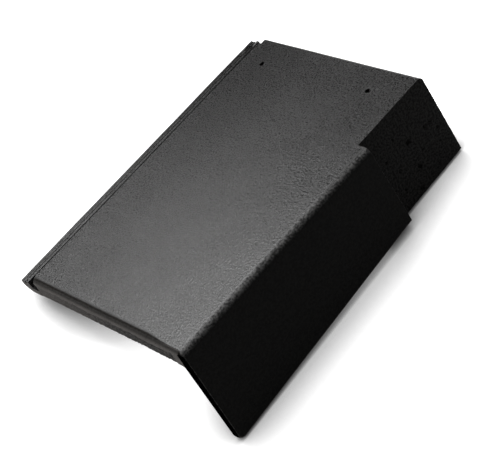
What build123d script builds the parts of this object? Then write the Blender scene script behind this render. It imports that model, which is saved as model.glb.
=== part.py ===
from build123d import *
import os

os.makedirs("parts", exist_ok=True)

# A right-hand cloaked verge tile of flat interlocking concrete, in millimetres.
# It is drawn with its face level: X runs from the side lock to the verge,
# Y from the tail up to the head, and Z out of the face, which lies at Z = 0.

# Face and body
LENGTH = 420.0
WIDTH = 335.5
BODY = 14.0
NOSE = 24.0
TAIL_LEAN = 0.045
TAIL_ROUND = 5.5
HEAD_ROUND_LOCK = 1.0
HEAD_ROUND_VERGE = 6.0

# Side lock along the left edge: two low ribs, a high rib and the channel
LOCK_WIDTH = 32.4
LOCK_UNDERSIDE = 25.0
LOCK_EDGE = 17.5
LOW_RIB_TOP = 10.2
LOW_RIB_DIP = 11.3
GROOVE_FLOOR = 12.6
HIGH_RIB_TOP = 7.3
CHANNEL_FLOOR = 18.0
HAUNCH = 45.0

# Flange that hangs down over the verge
WALL_ROOT = 16.2
WALL_FOOT = 9.6
FLANGE_TAIL = 141.4
FLANGE_STEP = 116.5
FLANGE_CORNER = 9.0
ARRIS = 8.0
END_SOFTENING = 3.0

# Rebate at the head, which the tile above covers
STEP = 308.8
REBATE = 17.0
REBATE_WALL = 14.5
REBATE_DRAFT = 2.0
REBATE_BOTTOM_STEP = 118.4
REBATE_BOTTOM_HEAD = 113.6
JOGGLE_START = 268.0
JOGGLE_END = 290.0
ROOT_FILLET = 7.0
NOSE_COVE = 2.0

# Weather bar behind the tail nose
NOSE_WIDTH = 17.0
BAR_START = 33.0
BAR_CREST = 7.0
BAR_HEIGHT = 22.0
BAR_SLOPE = 4.0

# Nibs, each with a seat that bears on the batten and a hook behind it
NIB_WIDTH = 44.0
NIB_PLACES = (115.0, 219.0)
NIB_SEAT = 25.0
NIB_DEPTH = 38.0
NIB_LENGTH = 16.0
SEAT_LENGTH = 14.0
NIB_SLOPE = 8.0
NIB_SOFTENING = 2.0

# Nail holes
NAIL_HOLE = 6.0
NAIL_LINE = 382.0
NAIL_PLACES = (70.0, 264.0)

# Corners cut out of the face beside the lock
HEAD_NOTCH = 8.0
HEAD_NOTCH_START = 26.0
HEAD_NOTCH_END = 37.0
TAIL_CUT = 8.0
TAIL_CUT_WIDTH = 2.5

# How far cutting shapes run past the tile
SPARE = 12.0

bar_end = BAR_START + 2 * BAR_SLOPE + BAR_CREST
rebate_face = WIDTH - REBATE
foot_slope = (FLANGE_TAIL - FLANGE_STEP) / STEP
tail_foot = -TAIL_LEAN * FLANGE_TAIL
hook_face = LENGTH - NIB_LENGTH
seat_start = hook_face - SEAT_LENGTH

with BuildPart() as level_tile:
    # Body with the side lock, one section from tail to head
    with BuildSketch(Plane.XZ.offset(SPARE)):
        with BuildLine():
            FilletPolyline(
                (0, -LOCK_EDGE),
                (0, -LOW_RIB_TOP),
                (3.4, -LOW_RIB_TOP),
                (4.7, -LOW_RIB_DIP),
                (6.0, -LOW_RIB_TOP),
                (8.2, -LOW_RIB_TOP),
                (9.6, -GROOVE_FLOOR),
                (12.6, -GROOVE_FLOOR),
                (14.4, -HIGH_RIB_TOP),
                (18.4, -HIGH_RIB_TOP),
                (20.4, -CHANNEL_FLOOR),
                (29.4, -CHANNEL_FLOOR),
                (31.2, -1.5),
                (LOCK_WIDTH, 0),
                (WIDTH - SPARE / 2, 0),
                (WIDTH - SPARE / 2, -BODY),
                (HAUNCH, -BODY),
                (HAUNCH - 8, -LOCK_UNDERSIDE),
                (14, -LOCK_UNDERSIDE),
                (6.5, -22.0),
                radius=[0.8, 0.8, 0.6, 0.4, 0.6, 0.8, 0.8, 0.8, 1.2, 1.2, 1.4, 1.4, 0.4, 0.4, 1, 1, 3, 2, 2, 3],
                close=True,
            )
        make_face()
    extrude(amount=-(LENGTH + SPARE))

    # Nose and weather bar under the tail
    with BuildSketch(Plane.YZ.offset(HAUNCH - 8)):
        with BuildLine():
            Polyline(
                (-SPARE, -BODY / 2),
                (-SPARE, -NOSE),
                (NOSE_WIDTH, -NOSE),
                (NOSE_WIDTH + BAR_SLOPE, -BODY),
                (BAR_START, -BODY),
                (BAR_START + BAR_SLOPE, -BAR_HEIGHT),
                (BAR_START + BAR_SLOPE + BAR_CREST, -BAR_HEIGHT),
                (bar_end, -BODY),
                (bar_end, -BODY / 2),
                close=True,
            )
        make_face()
    extrude(amount=WIDTH - HAUNCH + 8 - SPARE / 2)

    # Flange, thinner at its foot, with its inner face joggled in at the rebate
    for depth, wall, rebate_wall in (
        (0, WALL_ROOT, REBATE_WALL + REBATE_DRAFT),
        (FLANGE_TAIL + SPARE, WALL_FOOT, REBATE_WALL - REBATE_DRAFT),
    ):
        with BuildSketch(Plane.XY.offset(-depth)):
            with BuildLine():
                Polyline(
                    (WIDTH, -SPARE),
                    (WIDTH, LENGTH),
                    (rebate_face - rebate_wall, LENGTH),
                    (rebate_face - rebate_wall, JOGGLE_END),
                    (WIDTH - wall, JOGGLE_START),
                    (WIDTH - wall, -SPARE),
                    close=True,
                )
            make_face()
    loft(ruled=True)

    # Cove between the underside and the flange, behind the weather bar
    under_edges = level_tile.edges().filter_by_position(Axis.Z, -BODY - 0.1, -BODY + 0.1)
    root_edges = under_edges.filter_by_position(Axis.X, rebate_face - REBATE_WALL - 5, WIDTH - WALL_ROOT + 2)
    fillet(root_edges.filter_by(lambda edge: edge.center().Y > bar_end), ROOT_FILLET)

    # Outline seen from the verge: leaning tail, rounded corner, sloping foot
    with BuildSketch(Plane.YZ.offset(-SPARE)) as outline:
        with BuildLine():
            Polyline(
                (0, 0),
                (LENGTH, 0),
                (LENGTH, -REBATE_BOTTOM_HEAD),
                (STEP, -REBATE_BOTTOM_STEP),
                (STEP, -FLANGE_STEP),
                (tail_foot, -FLANGE_TAIL + foot_slope * tail_foot),
                close=True,
            )
        make_face()
        fillet(outline.vertices().sort_by(Axis.X)[0], FLANGE_CORNER)
        fillet(outline.vertices().group_by(Axis.Y)[-1].sort_by(Axis.X)[0], TAIL_ROUND)
    extrude(amount=WIDTH + 2 * SPARE, mode=Mode.INTERSECT)

    # Softened edges round the flange's free end and foot, as they leave the mould
    outer_edges = level_tile.edges().filter_by_position(Axis.X, WIDTH - 0.1, WIDTH + 0.1)
    foot_edges = outer_edges.filter_by_position(Axis.Y, -SPARE, STEP - 5)
    fillet(foot_edges.filter_by_position(Axis.Z, -FLANGE_TAIL, -ARRIS), END_SOFTENING)
    end_edges = level_tile.edges().filter_by_position(Axis.Y, -SPARE, 0)
    inner_edges = end_edges.filter_by_position(Axis.X, WIDTH - WALL_ROOT - 1, WIDTH - WALL_FOOT)
    fillet(inner_edges.filter_by_position(Axis.Z, -FLANGE_TAIL, -NOSE - 5), END_SOFTENING)

    # Small cove between the nose's underside and the flange
    nose_edges = level_tile.edges().filter_by_position(Axis.Z, -NOSE - 0.1, -NOSE + 0.1)
    fillet(nose_edges.filter_by_position(Axis.X, WIDTH - WALL_ROOT, WIDTH - WALL_FOOT), NOSE_COVE)

    # Rounded arris between face and flange
    with BuildSketch(Plane.XZ.offset(SPARE)):
        with BuildLine():
            RadiusArc((WIDTH - ARRIS, 0), (WIDTH, -ARRIS), ARRIS)
            Polyline((WIDTH, -ARRIS), (WIDTH + 1, -ARRIS), (WIDTH + 1, 1), (WIDTH - ARRIS, 1), (WIDTH - ARRIS, 0))
        make_face()
    extrude(amount=-(STEP + SPARE), mode=Mode.SUBTRACT)

    # Rebate at the head
    with BuildSketch(Plane.XY):
        with Locations((rebate_face, STEP)):
            Rectangle(REBATE + SPARE, LENGTH, align=(Align.MIN, Align.MIN))
    extrude(amount=-FLANGE_TAIL - SPARE, mode=Mode.SUBTRACT)

    # Head edge, rounded more towards the verge than beside the lock
    for place, radius in ((LOCK_WIDTH - 2, HEAD_ROUND_LOCK), (rebate_face, HEAD_ROUND_VERGE)):
        with BuildSketch(Plane.YZ.offset(place)):
            with BuildLine():
                RadiusArc((LENGTH - radius, 0), (LENGTH, -radius), radius)
                Polyline((LENGTH, -radius), (LENGTH + 1, -radius), (LENGTH + 1, 1), (LENGTH - radius, 1),
                         (LENGTH - radius, 0))
            make_face()
    loft(ruled=True, mode=Mode.SUBTRACT)

    # Nibs
    for place in NIB_PLACES:
        with BuildSketch(Plane.YZ.offset(place - NIB_WIDTH / 2)):
            with BuildLine():
                FilletPolyline(
                    (LENGTH, -BODY / 2),
                    (LENGTH, -NIB_DEPTH),
                    (hook_face, -NIB_DEPTH),
                    (hook_face, -NIB_SEAT),
                    (seat_start, -NIB_SEAT),
                    (seat_start - NIB_SLOPE, -BODY),
                    (seat_start - NIB_SLOPE, -BODY / 2),
                    radius=[0.1, 4, NIB_SOFTENING, 1, NIB_SOFTENING, 0.1, 0.1],
                    close=True,
                )
            make_face()
        extrude(amount=NIB_WIDTH)

    # Nail holes through the body
    with Locations(*[(place, NAIL_LINE, 0) for place in NAIL_PLACES]):
        Hole(radius=NAIL_HOLE / 2, depth=BODY + 1)

    # Notch at the head end of the channel, and the face's cut corner at the tail
    with BuildSketch(Plane.XY):
        with Locations((HEAD_NOTCH_START, LENGTH - HEAD_NOTCH)):
            Rectangle(HEAD_NOTCH_END - HEAD_NOTCH_START, SPARE, align=(Align.MIN, Align.MIN))
        with BuildLine():
            Polyline(
                (LOCK_WIDTH - TAIL_CUT_WIDTH, TAIL_CUT),
                (LOCK_WIDTH, TAIL_CUT),
                (LOCK_WIDTH + TAIL_CUT_WIDTH, TAIL_CUT / 2),
                (LOCK_WIDTH + TAIL_CUT_WIDTH, -SPARE),
                (LOCK_WIDTH - TAIL_CUT_WIDTH, -SPARE),
                close=True,
            )
        make_face()
    extrude(amount=-CHANNEL_FLOOR, mode=Mode.SUBTRACT)

# The tile lies unheld on three points: the head end of the lock's underside
# and the flange's inner foot at its tail corner and at its head.
rest_lock = Vector(13.8, LENGTH, -LOCK_UNDERSIDE)
rest_tail = Vector(WIDTH - WALL_FOOT + 1.5, 3.8, -FLANGE_TAIL + 0.4)
rest_head = Vector(rebate_face - REBATE_WALL + 1.0, LENGTH, -REBATE_BOTTOM_HEAD)
floor_up = (rest_head - rest_tail).cross(rest_lock - rest_tail).normalized()
lengthwise = Vector(0, 1, 0) - floor_up * floor_up.Y
floor = Plane(origin=rest_tail, x_dir=lengthwise.cross(floor_up), z_dir=floor_up)
settled = floor.location.inverse()
settled_box = (settled * level_tile.part).bounding_box()
centre = settled_box.center()
placing = Pos(-centre.X, -centre.Y, -settled_box.min.Z) * settled

with BuildPart() as verge_tile:
    with Locations(placing):
        add(level_tile.part)

verge_tile.part.label = "verge_tile"
export_step(verge_tile.part, "parts/verge_tile.step")
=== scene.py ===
import math

import bmesh
import bpy
from mathutils import Matrix, Vector, noise


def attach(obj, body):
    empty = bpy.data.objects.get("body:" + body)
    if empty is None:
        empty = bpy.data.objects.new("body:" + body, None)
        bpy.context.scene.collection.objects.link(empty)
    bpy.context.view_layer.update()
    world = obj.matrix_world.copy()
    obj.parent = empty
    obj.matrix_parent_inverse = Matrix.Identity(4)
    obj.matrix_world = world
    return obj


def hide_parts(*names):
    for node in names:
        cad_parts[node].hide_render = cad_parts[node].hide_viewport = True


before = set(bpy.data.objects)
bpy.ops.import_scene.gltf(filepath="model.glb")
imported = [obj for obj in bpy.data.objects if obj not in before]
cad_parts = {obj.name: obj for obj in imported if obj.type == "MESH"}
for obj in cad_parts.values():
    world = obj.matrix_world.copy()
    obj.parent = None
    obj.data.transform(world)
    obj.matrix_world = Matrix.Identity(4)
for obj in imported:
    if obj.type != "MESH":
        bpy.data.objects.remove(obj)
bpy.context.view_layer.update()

# The tile's own frame, in metres: X from the side lock to the verge,
# Y from the tail up to the head, and Z out of the face, which lies at Z = 0.
LENGTH = 0.420
WIDTH = 0.3355
NOSE = 0.024
ARRIS = 0.008
LOCK_WIDTH = 0.0324
STEP = 0.3088
REBATE = 0.017
FLANGE_TAIL = 0.1414

# The points that the tile rests on: the lock's head corner, and the flange's foot at tail and head
REST_LOCK = Vector((0.0138, LENGTH, -0.0250))
REST_TAIL = Vector((0.3274, 0.0038, -0.1410))
REST_HEAD = Vector((0.3050, LENGTH, -0.1136))

# Size of the mesh's cells, where they start along Y, and the cuts that make rough zones finer
CELL = 0.0046
FIRST_CELL = -0.007
ROUGH_CUTS = 3
FLANGE_CUTS = 1

# How near points are one or lie on a cut, and the angles up to which faces are flat or shade smoothly
MERGE_REACH = 2e-6
CUT_REACH = 1e-6
FLAT_DEGREES = 0.3
SHARP_DEGREES = 32

# Height and frequency of the waves that make up the cast surface
FACE_SWELL = (0.00022, 16)
FACE_RIPPLE = (0.00005, 160)
REBATE_GRAINS = (0.00022, 400)
REBATE_LUMPS = (0.00022, 120)

# The torn front of the nose: its edge's depth below the face, fall to the flange, waves and teeth
TORN_BELOW = 0.0082
TORN_FALL = 0.0016
TORN_WAVES = 0.0024
TORN_TEETH = 0.0018

# How deep it is torn, how far from the verge that ends, and how torn it is beside the lock
TORN_DEPTH = 0.0004
CRUMB_DEPTH = 0.0018
TORN_END = 0.024
TORN_LEAST = 0.45

# Limits of the bare concrete: distances back from the tail, in from the verge and down from the face
FRONT_REACH = 0.006
BEHIND_NOSE = 0.030
FRONT_END = 0.011
FLANGE_ROOT = 0.020
HEAD_COAT = 0.008
BELOW_BODY = 0.0145
BELOW_LOCK = 0.026

# Voids left by air in the rebate's face: place along the tile, height, radius, depth
VOIDS = (
    (0.3616, -0.0854, 0.0056, 0.0034),
    (0.3640, -0.0492, 0.0042, 0.0030),
    (0.4057, -0.0660, 0.0032, 0.0024),
    (0.3912, -0.0520, 0.0034, 0.0024),
    (0.4006, -0.0515, 0.0030, 0.0020),
    (0.4003, -0.0816, 0.0028, 0.0018),
    (0.3861, -0.0902, 0.0026, 0.0018),
    (0.3366, -0.0685, 0.0030, 0.0020),
    (0.3268, -0.0458, 0.0026, 0.0018),
    (0.3861, -0.1050, 0.0034, 0.0022),
    (0.3500, -0.1090, 0.0036, 0.0024),
    (0.3307, -0.0934, 0.0030, 0.0020),
    (0.3480, -0.0300, 0.0022, 0.0014),
    (0.3750, -0.0720, 0.0024, 0.0014),
)

# Waves that make a void's edge ragged: size as a share of its radius, and frequency
VOID_WAVES = (0.55, 300)
VOID_TEETH = (0.25, 700)

# The camera, in the tile's frame, for a picture 500 pixels wide
PHOTO_WIDTH = 500
FOCAL_PIXELS = 1728.1
CAMERA_PLACE = Vector((1.7008, -0.3982, 1.0736))
CAMERA_RIGHT = Vector((0.6064, 0.6442, -0.4662))
CAMERA_DOWN = Vector((0.2315, -0.7039, -0.6715))
CAMERA_FORWARD = Vector((-0.7607, 0.2993, -0.5760))

# The floor, the contact shadow painted into it, and the room
SEEN_WHITE = (1, 1, 1, 1)
FLOOR_COLOUR = (0.8, 0.8, 0.8, 1)
SHADOW_COLOUR = (0.2, 0.2, 0.2, 1)
FLOOR_ROUGHNESS = 0.9
FLOOR_RADIUS = 8
FLOOR_GLOW = 1.05
SHADOW_REACH = 0.07
SHADOW_DEPTH = 2.5
ROOM_COLOUR = (0.10, 0.10, 0.10, 1)

# The lights: place in the tile's frame, width and radiance
KEY_LIGHT = ((-0.84, 0.29, 1.45), 0.93, 7.0)
OVERHEAD_LIGHT = ((0.05, 0.25, 1.60), 1.6, 2.3)

# Frequency, detail and roughness of the noise in the materials
GRAIN_NOISE = (380, 2, 0.6)
FINE_NOISE = (450, 1)
CLOUD_NOISE = (20, 4, 0.6)
FLECK_NOISE = (360, 1)
BARE_CLOUD_NOISE = (40, 4, 0.6)
PORE_NOISE = (480, 2)
CRUMB_NOISE = (340, 3, 0.7)
PIT_NOISE = (300, 3, 0.6)

# The coat's colours, where a pair runs from dark to light
COAT_CLOUDS = ((0.0060, 0.0055, 0.0055, 1), (0.0090, 0.0085, 0.0085, 1))
COAT_GRAINS = ((0.0006, 0.0005, 0.0005, 1), (0.0170, 0.0164, 0.0164, 1))
COAT_GRAIN_SHARE = 0.6
FLECK_COLOUR = (0.050, 0.048, 0.047, 1)
# The flange's colours are set darker than the face's, as painted shade
FLANGE_SHADE_GRAINS = ((0.0042, 0.0041, 0.0040, 1), (0.0096, 0.0094, 0.0090, 1))
REBATE_TONES = ((0.0002, 0.0002, 0.0002, 1), (0.0215, 0.0209, 0.0203, 1))
# The tail end's dark tone, with light flecks painted on it as glints
TAIL_END_DARK_AND_GLINTS = ((0.0002, 0.0002, 0.0002, 1), (0.030, 0.029, 0.028, 1))
# Light grains that paint the sheen round the arris and the glints at the flange's tail end
SHEEN_AND_GLINT_GRAINS = ((0.040, 0.040, 0.040, 1), (0.200, 0.198, 0.196, 1))
# Painted shade in the band round the nose's rounded upper edge
ROUNDING_SHADE_GRAINS = ((0.012, 0.011, 0.010, 1), (0.030, 0.028, 0.026, 1))

# The coat's roughness and gloss
CLOUD_ROUGHNESS = (0.310, 0.276)
GRAIN_ROUGHNESS = (-0.080, 0.120)
FLECK_ROUGHNESS = 0.18
MATT_ROUGHNESS = 0.64
SATIN_GLOSS = 0.5
# The flange's low gloss paints the shade on it
FLANGE_SHADE_GLOSS = 0.03
# Lower gloss toward the lock's head corner paints the fall-off of the sheen there
HEAD_CORNER_SHADE_GLOSS = 0.42
# Low gloss in that band, part of its painted shade
ROUNDING_SHADE_GLOSS = 0.05
COAT_BUMP = 0.00044

# The bare concrete's colours and finish
BARE_CLOUDS = ((0.080, 0.072, 0.066, 1), (0.130, 0.119, 0.111, 1))
PORE_COLOUR = (0.018, 0.016, 0.015, 1)
# Torn crumbs, from near-black painted shade to light concrete
CRUMB_AND_SHADE_TONES = ((0.001, 0.001, 0.001, 1), (0.082, 0.073, 0.066, 1))
BARE_ROUGHNESS = 0.8
BARE_GLOSS = 0.2
BARE_BUMP = 0.0010


def smooth_step(value, low, high):
    """0 below low, 1 above high and a soft change between them."""
    share = min(1, max(0, (value - low) / (high - low)))
    return share * share * (3 - 2 * share)


def waves(place, size):
    """Height at a place of waves with the given height and frequency."""
    height, frequency = size
    return height * noise.noise(place * frequency)


def tile_frame():
    """The matrix that takes a place on the level tile to its place as the tile rests on the floor."""
    up = (REST_HEAD - REST_TAIL).cross(REST_LOCK - REST_TAIL).normalized()
    along = (Vector((0, 1, 0)) - up * up.y).normalized()
    turn = Matrix((along.cross(up), along, up))
    level = [turn.transposed() @ vertex.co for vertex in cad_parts["verge_tile"].data.vertices]
    offset = Vector((
        min(place.x for place in level),
        max(place.y for place in level) - LENGTH,
        max(place.z for place in level),
    ))
    return turn.to_4x4() @ Matrix.Translation(offset)


def cut_in_cells(mesh):
    """Cuts every face of the mesh along planes one cell apart, square to each axis."""
    for axis, low, high in ((0, 0, WIDTH), (1, FIRST_CELL, LENGTH), (2, -FLANGE_TAIL, 0)):
        normal = Vector((axis == 0, axis == 1, axis == 2))
        for count in range(1, math.ceil((high - low) / CELL)):
            everything = mesh.verts[:] + mesh.edges[:] + mesh.faces[:]
            cut = normal * (low + count * CELL)
            bmesh.ops.bisect_plane(mesh, geom=everything, dist=CUT_REACH, plane_co=cut, plane_no=normal)


def make_finer(mesh, inside, cuts):
    """Divides the edges of the faces whose middle and normal the function inside accepts."""
    faces = [face for face in mesh.faces if inside(face.calc_center_median(), face.normal)]
    edges = list({edge for face in faces for edge in face.edges})
    bmesh.ops.subdivide_edges(mesh, edges=edges, cuts=cuts, use_grid_fill=True)


def on_rebate(place, normal):
    """The rebate's face and step, with a narrow margin."""
    return place.y > STEP - 0.004 and place.x > WIDTH - REBATE - 0.003 and normal.x > -0.5


def on_nose(place, normal):
    """The flat surfaces at the tail, the nose's front among them."""
    return place.y < 0.002 and normal.y < -0.97


def on_flange(place, normal):
    """The flange's broad side up to the rebate, and the face's strip along the tail."""
    return normal.x > 0.97 and place.y < STEP or normal.z > 0.97 and place.y < 0.012


def torn_height(x):
    """Height up to which the front of the nose is torn concrete."""
    along = Vector((x * 26, 3.1, 0.4))
    lower = TORN_FALL * smooth_step(x, 0.24, 0.31)
    teeth = TORN_TEETH * noise.noise(along * 4.3)
    return -TORN_BELOW - lower + TORN_WAVES * noise.noise(along) + teeth


def relief(place, normal):
    """How far the cast surface stands off the ideal one at a place, outwards."""
    depth = waves(place, FACE_SWELL) + waves(place, FACE_RIPPLE)
    if on_rebate(place, normal) and normal.x > 0.5:
        rough = smooth_step(place.y, STEP, STEP + 0.010) * smooth_step(-place.z, 0.002, 0.020)
        depth += rough * (waves(place, REBATE_GRAINS) + waves(place, REBATE_LUMPS))
        ragged = waves(place, VOID_WAVES) + waves(place, VOID_TEETH)
        for y, z, radius, deep in VOIDS:
            away = Vector((place.y - y, place.z - z, 0)).length / radius
            if away < 2:
                depth -= deep * smooth_step(1 - away + ragged, 0.15, 0.75)
    crumb = 0.5 + 0.5 * noise.noise(place * 420)
    return depth - torn_share(place, normal) * (TORN_DEPTH + CRUMB_DEPTH * crumb * crumb)


def torn_share(place, normal):
    """How torn the front of the nose is: 0 above the torn edge, and most near the flange."""
    if place.y > FRONT_REACH or normal.y > -0.4 or place.x > WIDTH - TORN_END or place.z < -NOSE - 0.004:
        return 0
    past_lock = smooth_step(place.x, LOCK_WIDTH, LOCK_WIDTH + 0.004)
    worst = past_lock * (TORN_LEAST + (1 - TORN_LEAST) * smooth_step(place.x, 0.03, 0.24))
    return worst * smooth_step(torn_height(place.x) - place.z, -0.0006, 0.0010)


def rounding_shade_share(place, normal):
    """1 in the dark band of painted shade round the nose's rounded upper edge."""
    if place.y > 0.012 or place.z < -0.012 or place.x < LOCK_WIDTH + 0.002 or normal.x > 0.6:
        return 0
    narrow = smooth_step(place.x, 0.262, 0.320)
    on_face = smooth_step(-place.y, -0.0085 + 0.0037 * narrow, -0.0040 + 0.0025 * narrow)
    return on_face * smooth_step(place.z, -0.0040, -0.0012)


def sheen_and_glint_share(place, normal):
    """Share of light grains painted round the arris, following the surface's turn, as the grainy fade of the
    sheen, and at the edge of the flange's tail end as glints.
    """
    if place.y > STEP or place.x < WIDTH - ARRIS - 0.002 or normal.y < -0.5:
        return 0
    if place.z < -NOSE and normal.y < -0.12:
        return 0.25
    turned = math.degrees(math.asin(min(1, max(0, normal.x))))
    upper = smooth_step(place.y, 0.18, 0.30)
    return smooth_step(turned, 4 + 8 * upper, 20 + 12 * upper) * max(0, 1 - max(0, turned - 22) / 60)


def shade_painted_tone(place, normal):
    """Tone of the flange's coat, which is painted as shade: 0 on its tail end, set nearly black, 0.5 on its
    broad face and 1 on the rebate.
    """
    if normal.y < -0.45 + 0.35 * noise.noise(place * 260):
        return 0
    return 1.0 if on_rebate(place, normal) and place.y > STEP + 0.001 else 0.5


def satin_share(place, normal):
    """1 on the satin face and lock, 0 on the flange, whose coat is set darker and less glossy as painted
    shade, with the change round the arris.
    """
    if place.x < LOCK_WIDTH + 0.003:
        return 1
    turned = max(smooth_step(normal.x, -0.06, 0.50), smooth_step(-normal.y, 0.25, 0.60))
    below = smooth_step(-place.z, 0.004, 0.010)
    return (1 - max(turned, below)) * (1 - rounding_shade_share(place, normal))


def cut_finely(mesh):
    """Cuts the level tile's faces fine enough to carry the relief and the finishes."""
    flat = math.radians(FLAT_DEGREES)
    bmesh.ops.dissolve_limit(mesh, angle_limit=flat, verts=mesh.verts, edges=mesh.edges)
    cut_in_cells(mesh)
    make_finer(mesh, on_rebate, ROUGH_CUTS)
    make_finer(mesh, on_nose, ROUGH_CUTS)
    make_finer(mesh, on_flange, FLANGE_CUTS)
    bmesh.ops.triangulate(mesh, faces=[face for face in mesh.faces if len(face.verts) > 4])
    mesh.normal_update()


def is_bare(middle, normal):
    """Whether a face is bare: the underside and weather bar, the nose's front and what faces the head."""
    down = normal.z < -0.2 or (normal.x < -0.5 and middle.z < -BELOW_LOCK)
    bar = normal.y < -0.5 and middle.y > BEHIND_NOSE and middle.z < -BELOW_BODY
    foot = -NOSE + 0.001 if middle.x > WIDTH - FLANGE_ROOT else -NOSE - 0.002
    before_flange = middle.x < WIDTH - FRONT_END and middle.z > foot
    front = middle.y < FRONT_REACH and normal.y < -0.3 and before_flange
    head = normal.y > 0.7 and middle.z < -HEAD_COAT
    return down or bar or front or head


def mark_faces(mesh):
    """Gives each face its material, 0 for the coat and 1 for bare concrete, and its shading."""
    for face in mesh.faces:
        face.material_index = int(is_bare(face.calc_center_median(), face.normal))
        face.smooth = True
    for edge in mesh.edges:
        edge.smooth = len(edge.link_faces) == 2 and edge.calc_face_angle() < math.radians(SHARP_DEGREES)


def mark_finishes(mesh):
    """Keeps each finish's share at every point, for the materials to read."""
    finishes = {
        "satin": satin_share,
        "torn": torn_share,
        "shade_painted_coat": shade_painted_tone,
        "rounding_shade": rounding_shade_share,
        "sheen_and_glints": sheen_and_glint_share,
    }
    layers = {name: mesh.verts.layers.float.new(name) for name in finishes}
    for vertex in mesh.verts:
        for name, share_at in finishes.items():
            vertex[layers[name]] = share_at(vertex.co, vertex.normal)


def raise_relief(mesh):
    """Moves every point by the relief there, all at once."""
    moves = [vertex.normal * relief(vertex.co, vertex.normal) for vertex in mesh.verts]
    for vertex, move in zip(mesh.verts, moves):
        vertex.co += move


def make_tile(to_row):
    """The cast tile with its relief, as one closed piece in place of the CAD node."""
    mesh = bmesh.new()
    mesh.from_mesh(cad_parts["verge_tile"].data)
    bmesh.ops.remove_doubles(mesh, verts=mesh.verts, dist=MERGE_REACH)
    bmesh.ops.transform(mesh, matrix=to_row.inverted(), verts=mesh.verts)
    cut_finely(mesh)
    mark_faces(mesh)
    mark_finishes(mesh)
    raise_relief(mesh)
    bmesh.ops.transform(mesh, matrix=to_row, verts=mesh.verts)
    data = bpy.data.meshes.new("cast_tile")
    mesh.to_mesh(data)
    mesh.free()
    # The normals that come with the CAD mesh don't know the relief
    if "custom_normal" in data.attributes:
        data.attributes.remove(data.attributes["custom_normal"])
    tile = bpy.data.objects.new("cast_tile", data)
    bpy.context.scene.collection.objects.link(tile)
    return tile


def new_material(name):
    """An empty node material with its Principled shader, and a function that adds and links nodes."""
    material = bpy.data.materials.new(name)
    material.use_nodes = True
    tree = material.node_tree
    shader = tree.nodes["Principled BSDF"]

    def add(kind, inputs=(), **settings):
        node = tree.nodes.new(kind)
        for key, value in settings.items():
            setattr(node, key, value)
        for key, value in dict(inputs).items():
            if isinstance(value, bpy.types.NodeSocket):
                tree.links.new(value, node.inputs[key])
            else:
                node.inputs[key].default_value = value
        return node

    return material, tree, shader, add


def tile_coordinates(add, to_row):
    """Object coordinates turned into the level tile's own frame."""
    back = to_row.inverted()
    place = add("ShaderNodeTexCoord").outputs["Object"]
    return add("ShaderNodeMapping", {
        "Vector": place, "Location": back.to_translation(), "Rotation": back.to_euler("XYZ"),
    }).outputs["Vector"]


def noise_at(add, place, scale, detail=2.0, roughness=0.5):
    """Noise from 0 to 1 at a place, with a mean of about 0.5."""
    return add("ShaderNodeTexNoise", {
        "Vector": place, "Scale": scale, "Detail": detail, "Roughness": roughness,
    }).outputs["Fac"]


def ramp(add, value, low, high, out_low=0.0, out_high=1.0):
    """out_low at low, out_high at high and a straight line between them."""
    return add("ShaderNodeMapRange", {
        "Value": value, "From Min": low, "From Max": high, "To Min": out_low, "To Max": out_high,
    }).outputs["Result"]


def soft_ramp(add, value, low, high):
    """0 at low, 1 at high and a soft change between them."""
    return add("ShaderNodeMapRange", {
        "Value": value, "From Min": low, "From Max": high,
    }, interpolation_type="SMOOTHSTEP").outputs["Result"]


def math_node(add, operation, first, second):
    """What a sum, product, power or greater of two numbers comes to."""
    return add("ShaderNodeMath", {0: first, 1: second}, operation=operation).outputs[0]


def mix_colours(add, share, first, second):
    """The first colour where the share is 0 and the second where it is 1."""
    return add("ShaderNodeMix", {
        "Factor": share, "A": first, "B": second,
    }, data_type="RGBA").outputs["Result"]


def mix_numbers(add, share, first, second):
    """The first number where the share is 0 and the second where it is 1."""
    return add("ShaderNodeMix", {
        "Factor": share, "A": first, "B": second,
    }, data_type="FLOAT").outputs["Result"]


def finish_share(add, name):
    """A finish's share, as the mesh keeps it."""
    return add("ShaderNodeAttribute", attribute_name=name).outputs["Fac"]


def add_bump(tree, shader, add, height, distance):
    """Lets the surface look as rough as a height from 0 to 1 times a distance."""
    bump = add("ShaderNodeBump", {"Height": height, "Strength": 1.0, "Distance": distance})
    tree.links.new(bump.outputs["Normal"], shader.inputs["Normal"])


def ragged_satin(add, grain):
    """The satin finish's share, with an edge that the grains make ragged."""
    share = finish_share(add, "satin")
    ragged = math_node(add, "ADD", share, ramp(add, grain, 0.3, 0.7, -0.40, 0.40))
    least = math_node(add, "MULTIPLY", share, ragged)
    most = math_node(add, "MAXIMUM", share, ragged)
    return mix_numbers(add, share, least, most)


def face_colour(add, clouds, fine, fleck):
    """Charcoal with fine grains and a few lighter flecks."""
    shade = mix_colours(add, clouds, *COAT_CLOUDS)
    grained = mix_colours(add, ramp(add, fine, 0.35, 0.65), *COAT_GRAINS)
    face = mix_colours(add, COAT_GRAIN_SHARE, shade, grained)
    return mix_colours(add, fleck, face, FLECK_COLOUR)


def flange_colour(add, tone, speckle, fleck):
    """Nearly black as painted shade on the flange: darkest on the tail end, with glints painted there, and
    most uneven on the rebate.
    """
    broad = mix_colours(add, speckle, *FLANGE_SHADE_GRAINS)
    rough = mix_colours(add, speckle, *REBATE_TONES)
    shade_painted_coat = mix_colours(add, ramp(add, tone, 0.5, 1), broad, rough)
    # Painted glints: light flecks on the dark tail end
    end = mix_colours(add, fleck, *TAIL_END_DARK_AND_GLINTS)
    return mix_colours(add, ramp(add, tone, 0, 0.5), end, shade_painted_coat)


def rounding_shade_colour(add, grain):
    """The dark colour painted as shade in the band round the nose's upper edge."""
    return mix_colours(add, ramp(add, grain, 0.35, 0.65), *ROUNDING_SHADE_GRAINS)


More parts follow.
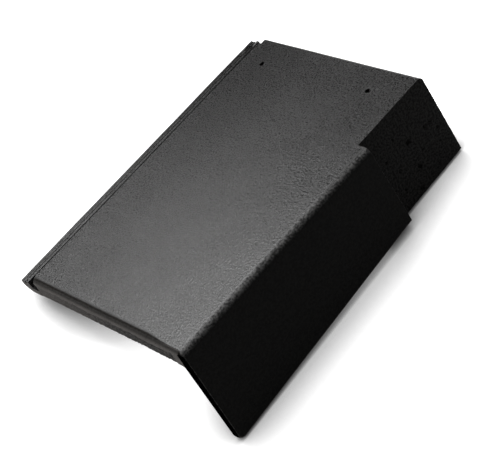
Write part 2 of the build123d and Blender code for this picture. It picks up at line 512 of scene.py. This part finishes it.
def coat_gloss(add, place, satin, tone, rounding_shade):
    """Gloss of the coat: least on the tail end and in the painted shade round the nose's upper edge, and
    lower at the lock's head corner, painting the fall-off of the sheen there.
    """
    shade_painted_gloss = ramp(add, tone, 0, 0.5, 0, FLANGE_SHADE_GLOSS)
    level = mix_numbers(add, ramp(add, satin, 0, 0.35), shade_painted_gloss, SATIN_GLOSS)
    axes = add("ShaderNodeSeparateXYZ", {"Vector": place}).outputs
    # Painted shade: the gloss drops toward the lock's head corner
    by_lock = soft_ramp(add, axes["X"], 0.20, 0.05)
    head_corner_shade = math_node(add, "MULTIPLY", by_lock, soft_ramp(add, axes["Y"], 0.05, 0.42))
    even = math_node(add, "MULTIPLY", level, ramp(add, head_corner_shade, 0, 1, 1, HEAD_CORNER_SHADE_GLOSS))
    return math_node(add, "MULTIPLY", even, ramp(add, rounding_shade, 0, 1, 1, ROUNDING_SHADE_GLOSS))


def coated_concrete(to_row):
    """Charcoal coat with a fine grain: satin on the face, and on the flange rougher, with colour and gloss
    set low as painted shade.
    """
    material, tree, shader, add = new_material("coated_concrete")
    place = tile_coordinates(add, to_row)
    grain = noise_at(add, place, *GRAIN_NOISE)
    fine = noise_at(add, place, *FINE_NOISE)
    satin = ragged_satin(add, grain)
    clouds = ramp(add, noise_at(add, place, *CLOUD_NOISE), 0.35, 0.65)
    fleck = ramp(add, noise_at(add, place, *FLECK_NOISE), 0.70, 0.76)
    tone = finish_share(add, "shade_painted_coat")
    speckle = ramp(add, grain, 0.38, 0.62)
    # The flange's colour, painted as shade
    dark = flange_colour(add, tone, speckle, fleck)
    rounding_shade = finish_share(add, "rounding_shade")
    shade_painted_coat = mix_colours(add, rounding_shade, dark, rounding_shade_colour(add, fine))
    coat = mix_colours(add, satin, shade_painted_coat, face_colour(add, clouds, fine, fleck))
    # Painted sheen round the arris and painted glints at the edge of the tail end
    grains = mix_colours(add, speckle, *SHEEN_AND_GLINT_GRAINS)
    colour = mix_colours(add, finish_share(add, "sheen_and_glints"), coat, grains)
    tree.links.new(colour, shader.inputs["Base Color"])
    by_grain = ramp(add, fine, 0.36, 0.72, *GRAIN_ROUGHNESS)
    even = math_node(add, "ADD", by_grain, ramp(add, clouds, 0, 1, *CLOUD_ROUGHNESS))
    flecked = math_node(add, "ADD", even, math_node(add, "MULTIPLY", fleck, FLECK_ROUGHNESS))
    tree.links.new(mix_numbers(add, satin, MATT_ROUGHNESS, flecked), shader.inputs["Roughness"])
    tree.links.new(coat_gloss(add, place, satin, tone, rounding_shade), shader.inputs["Specular IOR Level"])
    add_bump(tree, shader, add, grain, COAT_BUMP)
    return material


def bare_concrete(to_row):
    """Uncoated concrete with fine pores, and crumbly where the nose is torn, where near-black crumbs are
    painted shade among the lighter ones.
    """
    material, tree, shader, add = new_material("bare_concrete")
    place = tile_coordinates(add, to_row)
    clouds = ramp(add, noise_at(add, place, *BARE_CLOUD_NOISE), 0.3, 0.7)
    plain = mix_colours(add, clouds, *BARE_CLOUDS)
    fine = noise_at(add, place, *PORE_NOISE)
    pitted = mix_colours(add, ramp(add, fine, 0.60, 0.68), plain, PORE_COLOUR)
    crumbs = ramp(add, noise_at(add, place, *CRUMB_NOISE), 0.49, 0.58)
    # The torn front's crumbs; the near-black ones are painted shade
    crumbs_and_shade = mix_colours(add, crumbs, *CRUMB_AND_SHADE_TONES)
    front = mix_colours(add, finish_share(add, "torn"), pitted, crumbs_and_shade)
    # The band round the nose's upper edge gets its painted shade here too
    colour = mix_colours(add, finish_share(add, "rounding_shade"), front, rounding_shade_colour(add, fine))
    tree.links.new(colour, shader.inputs["Base Color"])
    shader.inputs["Roughness"].default_value = BARE_ROUGHNESS
    shader.inputs["Specular IOR Level"].default_value = BARE_GLOSS
    add_bump(tree, shader, add, noise_at(add, place, *PIT_NOISE), BARE_BUMP)
    return material


def make_floor():
    """A pale floor that shows white to the camera and in reflections, keeps the tile's shadow, and has a
    contact shadow painted into its colour and glow near the tile.
    """
    mesh = bmesh.new()
    bmesh.ops.create_circle(mesh, cap_ends=True, segments=64, radius=FLOOR_RADIUS)
    data = bpy.data.meshes.new("floor")
    mesh.to_mesh(data)
    mesh.free()
    floor = bpy.data.objects.new("floor", data)
    bpy.context.scene.collection.objects.link(floor)
    material, tree, shader, add = new_material("pale_floor")
    shader.inputs["Roughness"].default_value = FLOOR_ROUGHNESS
    shader.inputs["Specular IOR Level"].default_value = 0
    rays = add("ShaderNodeLightPath").outputs
    seen = rays["Is Camera Ray"]
    for kind in ("Is Glossy Ray", "Is Transmission Ray"):
        seen = math_node(add, "MAXIMUM", seen, rays[kind])
    shader.inputs["Emission Color"].default_value = SEEN_WHITE
    # Painted shadow: ambient occlusion near the tile darkens the floor's seen colour and dims its glow
    near = add("ShaderNodeAmbientOcclusion", {"Distance": SHADOW_REACH}, samples=16).outputs["AO"]
    open_share = math_node(add, "POWER", near, SHADOW_DEPTH)
    glow = math_node(add, "MULTIPLY", open_share, FLOOR_GLOW)
    shaded = mix_colours(add, open_share, SHADOW_COLOUR, SEEN_WHITE)
    tree.links.new(mix_colours(add, seen, FLOOR_COLOUR, shaded), shader.inputs["Base Color"])
    tree.links.new(math_node(add, "MULTIPLY", seen, glow), shader.inputs["Emission Strength"])
    data.materials.append(material)


def add_light(name, to_row, place, size, radiance):
    """A square soft light at a place in the tile's frame, facing the tile's middle."""
    light = bpy.data.lights.new(name, "AREA")
    light.size = size
    light.energy = radiance * math.pi * size * size
    lamp = bpy.data.objects.new(name, light)
    at = to_row @ Vector(place)
    away = at - to_row @ Vector((WIDTH / 2, LENGTH / 2, 0))
    lamp.matrix_world = Matrix.Translation(at) @ away.to_track_quat("Z", "Y").to_matrix().to_4x4()
    bpy.context.scene.collection.objects.link(lamp)


def make_studio():
    """A dim grey room that shows white to the camera and adds no light by that."""
    world = bpy.data.worlds.new("studio")
    world.use_nodes = True
    nodes = world.node_tree.nodes
    links = world.node_tree.links
    shown = nodes.new("ShaderNodeMix")
    shown.data_type = "RGBA"
    shown.inputs["A"].default_value = ROOM_COLOUR
    shown.inputs["B"].default_value = SEEN_WHITE
    links.new(nodes.new("ShaderNodeLightPath").outputs["Is Camera Ray"], shown.inputs["Factor"])
    links.new(shown.outputs["Result"], nodes["Background"].inputs["Color"])
    bpy.context.scene.world = world


def add_camera(to_row):
    """The photograph's camera, whose place and directions are in the tile's frame."""
    camera = bpy.data.cameras.new("camera")
    camera.lens = FOCAL_PIXELS * camera.sensor_width / PHOTO_WIDTH
    camera.clip_end = 50
    holder = bpy.data.objects.new("camera", camera)
    axes = Matrix((CAMERA_RIGHT, -CAMERA_DOWN, -CAMERA_FORWARD)).transposed()
    holder.matrix_world = to_row @ Matrix.Translation(CAMERA_PLACE) @ axes.to_4x4()
    bpy.context.scene.collection.objects.link(holder)
    bpy.context.scene.camera = holder


to_row = tile_frame()
tile = make_tile(to_row)
tile.data.materials.append(coated_concrete(to_row))
tile.data.materials.append(bare_concrete(to_row))
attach(tile, "root")
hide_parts("verge_tile")

make_floor()
add_light("key", to_row, *KEY_LIGHT)
add_light("overhead", to_row, *OVERHEAD_LIGHT)
make_studio()
add_camera(to_row)
bpy.context.scene.view_settings.view_transform = "Standard"
